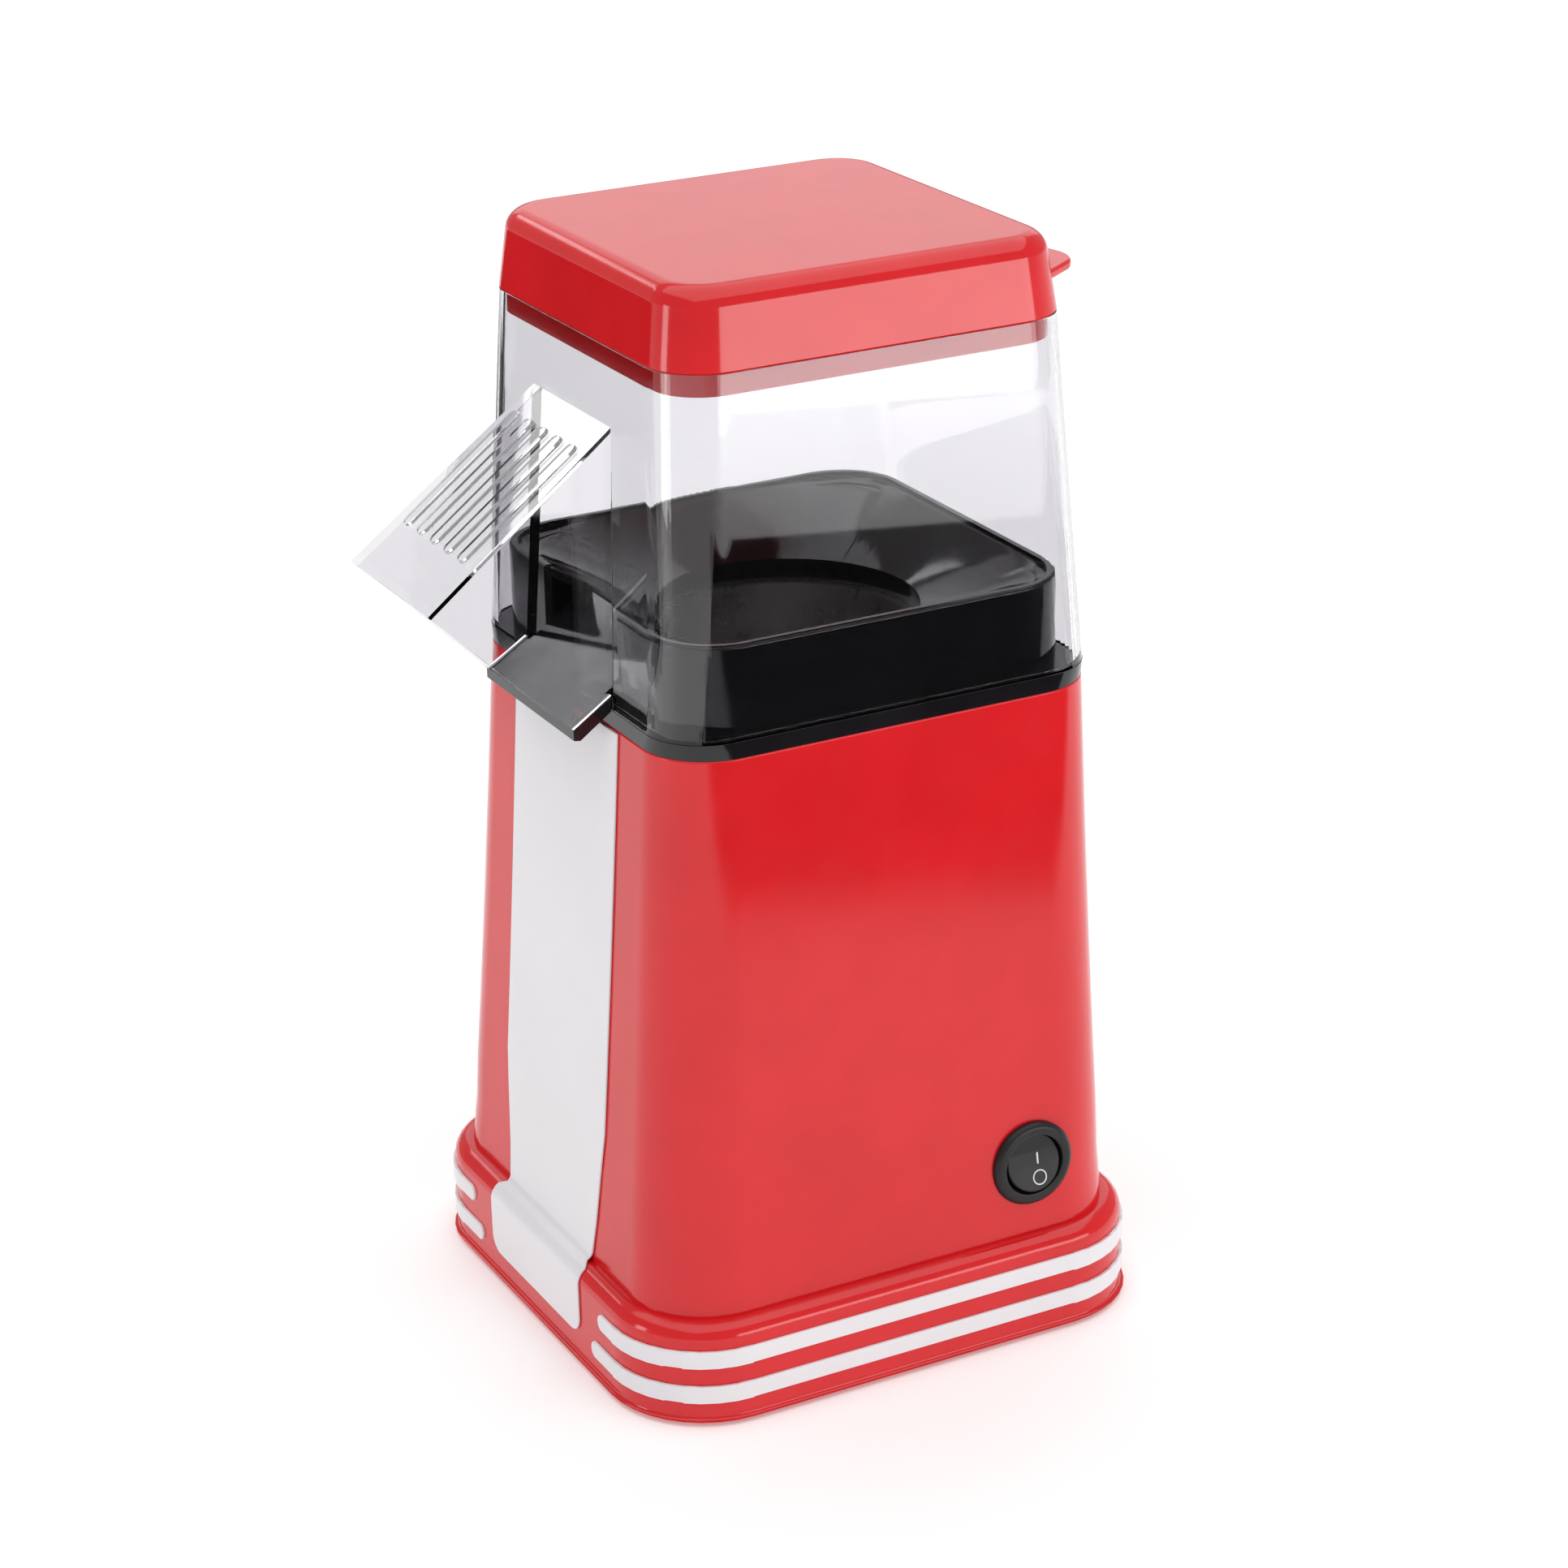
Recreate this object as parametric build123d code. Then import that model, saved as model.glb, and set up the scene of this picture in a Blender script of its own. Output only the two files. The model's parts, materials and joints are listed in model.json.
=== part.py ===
from build123d import *
import math
import os

# Hot-air popcorn maker. Millimetres, +Z up, origin on the table plane under the
# middle of the popping chamber; the plinth stands a little further forward. The
# chute and the pale front strip face -Y, the switch faces +X.

os.makedirs("parts", exist_ok=True)

# sizes -----------------------------------------------------------------------
gap = 0.05                 # seat clearance between pieces of one body
running = 0.05             # radial clearance of a turning fit
loose = 0.4                # clearance round lift-off pieces

foot_proud = 1.5           # feet below the plinth
foot_r = 6.0
foot_sunk = 1.2
foot_x, foot_y_in = 61.0, 12.0

base_half = 74.0           # half width of the plinth
base_corner = 26.5
base_y = -3.7              # the plinth's centre is forward of the chamber's
base_height = 28.0         # top of the plinth above the table
base_edge = 5.0            # rounding of its upper edge
base_wall = 3.0
deck = 2.5                 # thickness of its top
deck_hole_r = 50.0
plate = 2.5                # bottom cover
vent_w, vent_pitch, vent_count = 4.0, 9.0, 7

stripe_h = 4.8             # the two pale bands round the plinth
stripe_low_z = 6.6
stripe_pitch = 10.0
stripe_sunk = 1.0
stripe_proud = 0.7
stripe_round = 0.7
tip_high, tip_low = 39.2, 34.6

body_low_half = 68.9       # tapered square body
body_top_half = 61.2
body_height = 147.0
body_corner_low, body_corner_top = 22.0, 18.0
body_wall = 2.2
lug_in = 7.0               # distance of the body screws from the wall

strip_top_half = 30.0      # pale front strip
strip_low_half = 25.8
strip_narrow_z = 66.0      # it narrows below this height
strip_foot_half = 27.5
strip_foot_round = 7.0
strip_t = 0.7
strip_top_gap = 0.5
strip_foot_z = 8.6
strip_fold = 2.0

flange_h = 4.2             # black collar between body and hood
rim_half = 56.4            # square funnel wall inside the hood
rim_corner = 18.0
rim_h = 23.0
rim_round = 1.0
funnel_wall = 2.2
hole_r = 36.0              # mouth of the popping chamber
hole_drop = 14.0           # below the rim
collar_h = 6.0
lip_depth = 4.0            # locating lip inside the body

tray_out = 11.0             # spout tray in front of the hood
tray_slope = 33.0
tray_t = 3.0
tray_rise = 4.1            # tray surface above the collar at the hood
notch_half = 22.6

hood_low_half = 60.8       # clear hood
hood_top_half = 55.6
hood_height = 90.6
hood_corner_low, hood_corner_top = 16.0, 15.0
hood_wall = 2.0

chute_half = 26.3          # clear chute cover on the hood
chute_lean = 3.2
chute_root = 71.3          # height of its root above the collar
chute_reach = 51.1         # horizontal reach of its top plate
chute_slope = 37.1
chute_wall = 2.0
rib_w, rib_h, rib_len, rib_pitch, rib_count = 3.6, 1.0, 40.0, 8.3, 5
rib_start = 8.5

lid_height = 20.2          # lift-off cap
lid_top_half = 53.0
lid_round = 4.8
lid_wall = 2.0
skirt_depth = 6.0
skirt_t = 1.6
tab_t = 2.6
tab_below_top = 10.0
tab_reach = 9.7

switch_r = 11.7            # round rocker switch
switch_bezel = 2.2
switch_barrel_r = 10.0
switch_depth = 13.0
terminal_len = 6.0
rocker_r = 7.8
rocker_room = 0.6
rocker_tilt = 9.0
rocker_pin_r = 1.2
switch_y, switch_z = 34.9, 47.6

bush_r, bush_barrel_r, bush_bore_r = 8.0, 5.5, 3.2
bush_t = 2.5
bush_z = 52.0

cup_r = 34.8               # popping chamber
cup_wall = 1.0
cup_depth = 60.0
cup_flange_r = 40.6
louvre_w, louvre_h, louvre_count = 1.8, 10.0, 16

duct_r = 43.0              # heater duct
duct_wall = 2.0
mica_t = 1.0
mica_h = 16.0
ring_r = 1.5
ring_big, ring_small = 27.0, 15.0

fan_h = 24.0
fan_floor = 2.0
fan_z = 64.0
inlet_r = 27.0
post_r = 4.5
post_at = 40.5
wheel_r, wheel_h, wheel_disc, blade_t, blade_count = 36.5, 15.0, 1.6, 1.4, 9
wheel_hub_r = 6.0

motor_r, motor_len = 14.0, 34.0
motor_nose_r, motor_nose = 5.0, 1.5
shaft_r = 1.5
clamp_t, clamp_h, arm_w = 2.5, 10.0, 8.0
board_x, board_y, board_t = 26.0, 20.0, 1.6
diode_r, diode_len = 1.4, 5.2

screw_r, screw_head_r, screw_head_h = 1.5, 2.9, 1.2
screw_len = 11.0
boss_r = 4.2
boss_at = 55.0

# levels ----------------------------------------------------------------------
z_low = foot_proud                          # underside of plinth and cover
z_deck = base_height
z_body = z_deck + body_height               # top edge of the body
z_flange = z_body + flange_h                # the hood stands here
z_rim = z_flange + rim_h
z_hole = z_rim - hole_drop
z_hood = z_flange + hood_height
z_top = z_hood + lid_height
z_seat = z_hole - collar_h                  # top of the chamber's flange
z_duct0 = fan_z + fan_h
z_cup = z_seat - cup_depth

body_lean = (body_low_half - body_top_half) / body_height


def body_half(z):
    return body_low_half - (z - z_deck) * body_lean


def body_y(z):
    # the body's axis leans from the plinth's centre to the chamber's
    return base_y * (1 - (z - z_deck) / body_height)


flange_half = body_half(z_flange)
hood_lean = (hood_low_half - hood_top_half) / hood_height


def hood_half(z):
    return hood_low_half - (z - z_flange) * hood_lean


def square(half, corner, z, y=0.0):
    return (Plane(origin=(0, y, z)) * RectangleRounded(2 * half, 2 * half, corner)).face()


def block(half, corner, z0, z1):
    return extrude(square(half, corner, z0), z1 - z0, dir=(0, 0, 1))


def flare(half0, corner0, z0, half1, corner1, z1, y0=0.0, y1=0.0):
    return loft([square(half0, corner0, z0, y0), square(half1, corner1, z1, y1)])


def rod(r, z0, z1, x=0.0, y=0.0):
    return Pos(x, y, (z0 + z1) / 2) * Cylinder(r, z1 - z0)


def rod_x(r, x0, x1, y, z):
    return Pos((x0 + x1) / 2, y, z) * Rot(0, 90, 0) * Cylinder(r, x1 - x0)


def rod_y(r, y0, y1, x, z):
    return Pos(x, (y0 + y1) / 2, z) * Rot(90, 0, 0) * Cylinder(r, y1 - y0)


def cuboid(x0, x1, y0, y1, z0, z1):
    return Pos((x0 + x1) / 2, (y0 + y1) / 2, (z0 + z1) / 2) * Box(x1 - x0, y1 - y0, z1 - z0)


def side_face(points, x=0.0):
    # polygon given as (y, z) in the plane X = x
    return make_face(Polyline([(x, y, z) for y, z in points], close=True))


def side_slab(points, x0, x1):
    return extrude(side_face(points, x0), x1 - x0, dir=(1, 0, 0))


def front_slab(points, y0, y1):
    return extrude(make_face(Polyline([(x, y0, z) for x, z in points], close=True)), y1 - y0, dir=(0, 1, 0))


def put(name, shape):
    solids = shape.solids()
    if len(solids) == 1:
        shape = solids[0]
    shape.label = name
    export_step(shape, "parts/" + name + ".step")
    print(name, len(solids), round(shape.volume, 1))


corners = [(1, 1), (-1, 1), (-1, -1), (1, -1)]
sides = [(1, 0), (0, 1), (-1, 0), (0, -1)]

# plinth ----------------------------------------------------------------------
base_in = base_half - base_wall
base_in_corner = base_corner - base_wall
plinth = block(base_half, base_corner, z_low, z_deck)
plinth = fillet(plinth.edges().group_by(Axis.Z)[-1], min(base_edge, base_corner * 0.9))
plinth -= block(base_in, base_in_corner, z_low - 1, z_deck - deck)
plinth -= rod(deck_hole_r, z_deck - deck - 1, z_deck + 1)
rib_out = body_half(z_deck) - body_wall - 0.3
plinth += block(rib_out, body_corner_low - body_wall, z_deck - 0.5, z_deck + 2.5) - block(
    rib_out - 1.8, body_corner_low - body_wall - 1.8, z_deck - 1, z_deck + 3)
plate_top = z_low + plate
for i, j in corners:
    plinth += rod(boss_r, plate_top, z_deck - deck + 0.2, i * boss_at, j * boss_at)
    plinth -= rod(screw_r, plate_top - 1, plate_top + screw_len, i * boss_at, j * boss_at)
lug_at = body_half(z_deck) - lug_in
for i, j in sides:
    plinth -= rod(screw_r + 0.2, z_deck - deck - 1, z_deck + 3.2, i * lug_at, j * lug_at)
    plinth -= cuboid(*sorted((i * (lug_at - 4.2) - abs(j) * 6.3, i * (lug_at + 9) + abs(j) * 6.3)),
                     *sorted((j * (lug_at - 4.2) - abs(i) * 6.3, j * (lug_at + 9) + abs(i) * 6.3)),
                     z_deck, z_deck + 3)
for z0, tip in ((stripe_low_z + stripe_pitch, tip_high), (stripe_low_z, tip_low)):
    groove = block(base_half + 3, base_corner + 3, z0 - gap, z0 + stripe_h + gap)
    groove -= block(base_half - stripe_sunk, base_corner - stripe_sunk, z0 - 1, z0 + stripe_h + 1)
    groove -= cuboid(-tip + gap, tip - gap, -base_half - 10, 0, z0 - 1, z0 + stripe_h + 1)
    plinth -= groove
put("base_plinth", Pos(0, base_y, 0) * plinth)

for name, z0, tip in (("stripe_upper", stripe_low_z + stripe_pitch, tip_high), ("stripe_lower", stripe_low_z, tip_low)):
    band = block(base_half + stripe_proud, base_corner + stripe_proud, z0, z0 + stripe_h)
    band = fillet(band.edges().group_by(Axis.Z)[0] + band.edges().group_by(Axis.Z)[-1], stripe_round)
    band -= block(base_half - stripe_sunk + gap, base_corner - stripe_sunk + gap, z0 - 1, z0 + stripe_h + 1)
    band -= cuboid(-tip, tip, -base_half - 10, 0, z0 - 1, z0 + stripe_h + 1)
    put(name, Pos(0, base_y, 0) * band)

# bottom cover with its intake slots, feet and screws -------------------------
cover = block(base_in - 0.2, base_in_corner - 0.2, z_low, plate_top)
vent_len = 2 * deck_hole_r * 0.6
for k in range(vent_count):
    x = (k - (vent_count - 1) / 2) * vent_pitch
    cover -= cuboid(x - vent_w / 2, x + vent_w / 2, -vent_len / 2, vent_len / 2, z_low - 1, plate_top + 1)
foot_y = boss_at - foot_r - 9.0
for i, j in corners:
    cover -= rod(screw_r + 0.3, z_low - 1, plate_top + 1, i * boss_at, j * boss_at)
    cover -= rod(screw_head_r + 0.2, z_low - 1, z_low + screw_head_h, i * boss_at, j * boss_at)
    cover -= rod(foot_r + gap, z_low - 1, z_low + foot_sunk, i * foot_x, j * foot_y)
cover = Pos(0, base_y, 0) * cover
cover += rod(foot_r + 3, z_low, plate_top)
cover -= rod(foot_r + gap, z_low - 1, z_low + foot_sunk)
put("base_plate", cover)
pad = rod(foot_r, 0, z_low + foot_sunk)
put("foot_middle", fillet(pad.edges().group_by(Axis.Z)[0], 0.6))

names = ["right_back", "left_back", "left_front", "right_front"]
for (i, j), name in zip(corners, names):
    foot = rod(foot_r, 0, z_low + foot_sunk, i * foot_x, j * foot_y)
    foot = fillet(foot.edges().group_by(Axis.Z)[0], 0.6)
    put("foot_" + name, Pos(0, base_y, 0) * foot)
    screw = rod(screw_head_r, z_low, z_low + screw_head_h, i * boss_at, j * boss_at)
    screw += rod(screw_r - 0.02, z_low + screw_head_h - 0.1, plate_top + screw_len - 1, i * boss_at, j * boss_at)
    screw -= cuboid(i * boss_at - 1.8, i * boss_at + 1.8, j * boss_at - 0.35, j * boss_at + 0.35, z_low - 1, z_low + 0.6)
    screw -= cuboid(i * boss_at - 0.35, i * boss_at + 0.35, j * boss_at - 1.8, j * boss_at + 1.8, z_low - 1, z_low + 0.6)
    put("cover_screw_" + name, Pos(0, base_y, 0) * screw)

# body shell ------------------------------------------------------------------
body = flare(body_low_half, body_corner_low, z_deck, body_top_half, body_corner_top, z_body, base_y)
room = flare(body_low_half - body_wall + body_lean, body_corner_low - body_wall, z_deck - 1,
             body_top_half - body_wall - body_lean, body_corner_top - body_wall, z_body + 1, body_y(z_deck - 1), body_y(z_body + 1))
inside = room
body -= room
for i, j in sides:
    lug = cuboid(*sorted((i * (lug_at - 4) - abs(j) * 6, i * (lug_at + 9) + abs(j) * 6)),
                 *(v + base_y for v in sorted((j * (lug_at - 4) - abs(i) * 6, j * (lug_at + 9) + abs(i) * 6))),
                 z_deck, z_deck + screw_len)
    outer = flare(body_low_half - 0.6, body_corner_low - 0.6, z_deck, body_top_half - 0.6, body_corner_top - 0.6, z_body, base_y)
    body += lug & outer
    body -= rod(screw_r, z_deck - 1, z_deck + screw_len - 2, i * lug_at, j * lug_at + base_y)
ear_at = body_top_half - 14.7
ear_z = z_body - 6.0
for i, j in corners:
    ear = rod(9.0, ear_z - 3, ear_z, i * ear_at, j * ear_at)
    outer = flare(body_low_half - 0.6, body_corner_low - 0.6, z_deck, body_top_half - 0.6, body_corner_top - 0.6, z_body, base_y)
    ear += cuboid(*sorted((i * ear_at, i * (ear_at + 15))), *sorted((j * ear_at, j * (ear_at + 15))), ear_z - 3, ear_z)
    body += ear & outer
    body -= rod(screw_r + 0.2, ear_z - 4, ear_z + 1, i * ear_at, j * ear_at)
switch_face = body_half(switch_z + switch_r)
body -= rod_x(switch_r + 0.1, switch_face, switch_face + 6, switch_y, switch_z)
body -= rod_x(switch_barrel_r + 0.15, switch_face - 8, switch_face + 1, switch_y, switch_z)
bush_face = body_half(bush_z + bush_r) + body_y(bush_z + bush_r)
body -= rod_y(bush_r + 0.1, bush_face, bush_face + 6, 0, bush_z)
body -= rod_y(bush_barrel_r + 0.1, bush_face - 8, bush_face + 1, 0, bush_z)
put("body_shell", body)

for (i, j), name in zip(sides, ["right", "back", "left", "front"]):
    x, y = i * lug_at, j * lug_at + base_y
    screw = rod(screw_head_r, z_deck - deck - screw_head_h, z_deck - deck, x, y)
    screw += rod(screw_r - 0.02, z_deck - deck - 0.1, z_deck + screw_len - 3, x, y)
    screw -= cuboid(x - 1.8, x + 1.8, y - 0.35, y + 0.35, z_deck - deck - screw_head_h - 1, z_deck - deck - screw_head_h + 0.6)
    screw -= cuboid(x - 0.35, x + 0.35, y - 1.8, y + 1.8, z_deck - deck - screw_head_h - 1, z_deck - deck - screw_head_h + 0.6)
    put("body_screw_" + name, screw)

# pale front strip: down the body, over the ledge and down the plinth ---------
s_top = z_body - strip_top_gap


def strip_path(off):
    # outline of the red surfaces in section, pushed outwards by off
    yb = body_y(z_deck + strip_fold) - body_half(z_deck + strip_fold) - off
    pts = [(body_y(s_top) - body_half(s_top) - off, s_top), (yb, z_deck + strip_fold)]
    cy, cz = yb - strip_fold + off, z_deck + strip_fold
    r = strip_fold - off
    for k in range(1, 7):
        a = math.radians(90 * k / 6)
        pts.append((cy + r * math.cos(a), cz - r * math.sin(a)))
    ce = base_edge
    ey, ez = base_y - base_half + ce, z_deck - ce
    for k in range(0, 7):
        a = math.radians(125 + 55 * k / 6)
        pts.append((ey + (ce + off) * math.cos(a), ez + (ce + off) * math.sin(a)))
    pts.append((base_y - base_half - off, strip_foot_z))
    return pts


outer_path = strip_path(strip_t)
inner_path = strip_path(gap)
section = outer_path + inner_path[::-1]
clean = []
for p in section:
    if not clean or math.dist(p, clean[-1]) > 1e-6:
        clean.append(p)
strip = side_slab(clean, -strip_top_half - 2, strip_top_half + 2)
w0, w1, w2 = strip_top_half, strip_low_half, strip_foot_half
upper = front_slab([(-w0, s_top + 5), (w0, s_top + 5), (w0, strip_narrow_z), (w1, z_deck + strip_fold), (w2, z_deck - 1.0),
                    (-w2, z_deck - 1.0), (-w1, z_deck + strip_fold), (-w0, strip_narrow_z)], base_y - base_half - 8, -body_top_half + 6)
lower = Plane(origin=(0, base_y - base_half - 8, (z_deck + strip_foot_z) / 2), x_dir=(1, 0, 0), z_dir=(0, -1, 0)) * RectangleRounded(
    2 * w2, z_deck - strip_foot_z, strip_foot_round)
lower = extrude(lower.face(), base_half, dir=(0, 1, 0))
lower += front_slab([(-w2, z_deck - 1.2), (-w2, z_deck - 8), (w2, z_deck - 8), (w2, z_deck - 1.2)], base_y - base_half - 8, -body_top_half + 6)
strip = strip & (upper + lower)
put("front_strip", strip)

# black funnel, collar and spout tray -----------------------------------------
lean = math.tan(math.radians(tray_slope))
tray_y = -hood_half(z_flange)


def tray_z(y):
    return z_flange + tray_rise + (y - tray_y) * lean


tray_lip = tray_y - tray_out
funnel = flare(body_half(z_body) - 0.1, body_corner_top, z_body, flange_half - 0.1, hood_corner_low, z_flange)
funnel -= rod(deck_hole_r + 2, z_body - 1, z_flange + 1)
funnel += block(body_half(z_body) - body_wall - 0.3, body_corner_top - body_wall - 0.3, z_body - lip_depth, z_body + 0.5) - block(
    body_half(z_body) - body_wall - 2.1, body_corner_top - body_wall - 2.1, z_body - lip_depth - 1, z_body + 1)
wall = block(rim_half, rim_corner, z_flange - 1, z_rim)
wall = fillet(wall.edges().group_by(Axis.Z)[-1], rim_round)
wall -= block(rim_half - funnel_wall, rim_corner - funnel_wall, z_flange - 2, z_rim + 1)
inner_half = rim_half - funnel_wall
inner_corner = rim_corner - funnel_wall
bowl_out = loft([square(inner_half + funnel_wall / 2, inner_corner + funnel_wall / 2, z_rim - 1.2 - funnel_wall * 0.6),
                 (Plane.XY.offset(z_hole - funnel_wall) * Circle(hole_r + funnel_wall)).face()])
bowl_in = loft([square(inner_half - 0.4, inner_corner - 0.4, z_rim - 1.2),
                (Plane.XY.offset(z_hole) * Circle(hole_r)).face()])
collar = rod(hole_r + funnel_wall, z_seat + gap, z_hole - 0.4)
funnel += wall + bowl_out + collar + (block(inner_half + 0.5, inner_corner + 0.5, z_rim - 3.2, z_rim - 1.2)
                                      - block(inner_half - 3, inner_corner - 3, z_rim - 4, z_rim))
funnel -= bowl_in + rod(hole_r, z_seat - 1, z_hole) + block(inner_half - 0.4, inner_corner - 0.4, z_rim - 1.2, z_rim + 2)
for i, j in corners:
    funnel += rod(5.0, ear_z + gap, z_body + 1, i * ear_at, j * ear_at)
    funnel -= rod(screw_r, ear_z - 1, ear_z + 9, i * ear_at, j * ear_at)
y_in = -(hole_r + 8.5)
thick = tray_t / math.cos(math.radians(tray_slope))
funnel -= side_slab([(y_in, tray_z(y_in)), (tray_lip - 5, tray_z(tray_lip - 5)), (tray_lip - 5, z_rim + 5), (y_in, z_rim + 5)],
                    -notch_half, notch_half)
inner_tray = side_slab([(y_in, tray_z(y_in)), (tray_y, tray_z(tray_y)), (tray_y, tray_z(tray_y) - thick), (y_in, tray_z(y_in) - thick)],
                       -notch_half, notch_half)
outer_tray = side_slab([(tray_y + 2.5, tray_z(tray_y + 2.5)), (tray_lip, tray_z(tray_lip)), (tray_lip, tray_z(tray_lip) - tray_t * 0.9),
                        (tray_lip + tray_t * 0.6, tray_z(tray_lip) - tray_t), (tray_y + 2.5, tray_z(tray_y + 2.5) - thick)],
                       -chute_half, chute_half)
outer_tray -= cuboid(-40, 40, tray_y - 0.5, 0, z_flange, z_rim) - cuboid(-notch_half, notch_half, tray_y - 1, 1, z_flange - 1, z_rim + 1)
funnel += inner_tray + outer_tray
funnel += cuboid(-notch_half, notch_half, tray_y + 0.3, tray_y + 6, z_flange - 0.5, tray_z(tray_y) - 1)
put("funnel_tray", funnel)

for (i, j), name in zip(corners, names):
    x, y = i * ear_at, j * ear_at
    screw = rod(screw_head_r, ear_z - 3 - screw_head_h, ear_z - 3, x, y)
    screw += rod(screw_r - 0.02, ear_z - 3.1, ear_z + 7, x, y)
    put("funnel_screw_" + name, screw)

# clear hood with its chute ---------------------------------------------------
hood_out = flare(hood_low_half, hood_corner_low, z_flange, hood_top_half, hood_corner_top, z_hood)
hood_in = flare(hood_low_half - hood_wall + hood_lean, hood_corner_low - hood_wall, z_flange - 1,
                hood_top_half - hood_wall - hood_lean, hood_corner_top - hood_wall, z_hood + 1)
fall = math.tan(math.radians(chute_slope))
root_z = z_flange + chute_root
root_y = -hood_half(root_z)
lip_y = root_y - chute_reach
lip_z = root_z - chute_reach * fall
clear = 0.2
back_y = -hood_half(z_hood) + 12
profile = [(back_y, root_z + (back_y - root_y) * fall), (lip_y, lip_z), (tray_lip - 0.6, tray_z(tray_lip) + clear + 0.3),
           (tray_lip, tray_z(tray_lip) + clear), (tray_y - 0.2, tray_z(tray_y - 0.2) + clear), (tray_y - 0.2, z_flange), (back_y, z_flange)]
chute = side_slab(profile, -chute_half - 1, chute_half + 1)
lean_x = math.tan(math.radians(chute_lean))


def chute_w(z):
    return chute_half - (z - z_flange) * lean_x


wedge_top = root_z + 12
wedge_low = z_body - 8
side_walls = front_slab([(-chute_w(wedge_low), wedge_low), (chute_w(wedge_low), wedge_low), (chute_w(wedge_top), wedge_top),
                         (-chute_w(wedge_top), wedge_top)], lip_y - 8, -20)
chute = chute & side_walls
top_t = chute_wall / math.cos(math.radians(chute_slope))
bore_pts = [(back_y - 2, root_z + (back_y - 2 - root_y) * fall - top_t - 9), (root_y + hood_wall, root_z + hood_wall * fall - top_t),
            (lip_y - 12, lip_z - 12 * fall - top_t), (lip_y - 12, z_body - 20), (back_y - 2, z_body - 20)]
bore = side_slab(bore_pts, -chute_half, chute_half)
t = chute_wall
bore = bore & front_slab([(-chute_w(wedge_low) + t, wedge_low - 20), (chute_w(wedge_low) - t, wedge_low - 20), (chute_w(wedge_low) - t, wedge_low),
                          (chute_w(wedge_top) - t, wedge_top), (-chute_w(wedge_top) + t, wedge_top), (-chute_w(wedge_low) + t, wedge_low)],
                         lip_y - 20, -20)
hood = hood_out + chute
hood = hood - hood_in
hood = hood - bore
slope_dir = Vector(0, -math.cos(math.radians(chute_slope)), -math.sin(math.radians(chute_slope)))
normal = Vector(0, -math.sin(math.radians(chute_slope)), math.cos(math.radians(chute_slope)))
mid = Vector(0, root_y, root_z) + slope_dir * (rib_start + rib_len / 2)
for k in range(rib_count):
    x = (k - (rib_count - 1) / 2) * rib_pitch
    spot = Plane(origin=mid + Vector(x, 0, 0) - normal * 0.4, x_dir=slope_dir, z_dir=normal)
    rib = extrude((spot * SlotOverall(rib_len, rib_w)).face(), rib_h + 0.4, dir=normal)
    hood += rib
put("hood", hood)

# lift-off cap ----------------------------------------------------------------
cap = flare(hood_top_half, hood_corner_top, z_hood, lid_top_half, hood_corner_top - 1.5, z_top)
cap = fillet(cap.edges().group_by(Axis.Z)[-1], lid_round)
lid_lean = (hood_top_half - lid_top_half) / lid_height
cap -= flare(hood_top_half - lid_wall + lid_lean, hood_corner_top - lid_wall, z_hood - 1,
             lid_top_half - lid_wall + lid_wall * lid_lean, hood_corner_top - 1.5 - lid_wall, z_top - lid_wall)
skirt_out = hood_top_half - hood_wall - loose
skirt_corner = hood_corner_top - hood_wall - loose
cap += block(hood_top_half - 0.8, hood_corner_top - 0.8, z_hood, z_hood + 1.6) - block(
    skirt_out - skirt_t, skirt_corner - skirt_t, z_hood - 1, z_hood + 3)
cap += block(skirt_out, skirt_corner, z_hood - skirt_depth, z_hood + 0.5) - block(
    skirt_out - skirt_t, skirt_corner - skirt_t, z_hood - skirt_depth - 1, z_hood + 1)
tab_z = z_top - tab_below_top
edge = hood_top_half - (tab_z - z_hood) * lid_lean
tab = make_face(Polyline([(edge - 32, edge - 4), (edge - 30, edge + tab_reach * 0.75), (edge - 18.7, edge + tab_reach),
                          (edge - 12.5, edge + tab_reach * 0.8), (edge - 5, edge - 3.5), (edge - 4, edge - 10)], close=True))
tab = extrude(Pos(0, 0, tab_z - tab_t) * tab, tab_t, dir=(0, 0, 1))
tab = fillet(tab.edges().filter_by(Axis.Z).sort_by_distance((edge - 15, edge + tab_reach, tab_z))[0:2], 2.0)
tab -= flare(hood_top_half - lid_wall + lid_lean, hood_corner_top - lid_wall, z_hood - 1,
             lid_top_half - lid_wall + lid_wall * lid_lean, hood_corner_top - 1.5 - lid_wall, z_top - lid_wall)
cap += tab
put("lid_cap", cap)

# round rocker switch ---------------------------------------------------------
x0 = switch_face
pivot_x = x0 + switch_bezel - 3.6
bezel_in = rocker_r + rocker_room
holder = rod_x(switch_r, x0 + gap, x0 + switch_bezel, switch_y, switch_z)
holder = fillet(holder.edges().group_by(Axis.X)[-1], switch_bezel * 0.55)
holder += rod_x(switch_barrel_r, x0 - switch_depth, x0 + 0.5, switch_y, switch_z)
holder -= rod_x(bezel_in, x0 - switch_depth + 6, x0 + switch_bezel + 1, switch_y, switch_z)
holder += rod_y(rocker_pin_r + 0.6, switch_y - bezel_in - 0.3, switch_y - rocker_r + 1.4, pivot_x, switch_z)
holder += rod_y(rocker_pin_r + 0.6, switch_y + rocker_r - 1.4, switch_y + bezel_in + 0.3, pivot_x, switch_z)
holder -= rod_y(rocker_pin_r + running, switch_y - switch_barrel_r, switch_y + switch_barrel_r, pivot_x, switch_z)
holder &= rod_x(switch_barrel_r, x0 - switch_depth - 1, x0 + 0.3, switch_y, switch_z) + rod_x(switch_r, x0, x0 + 10, switch_y, switch_z)
put("switch_housing", holder)

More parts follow.
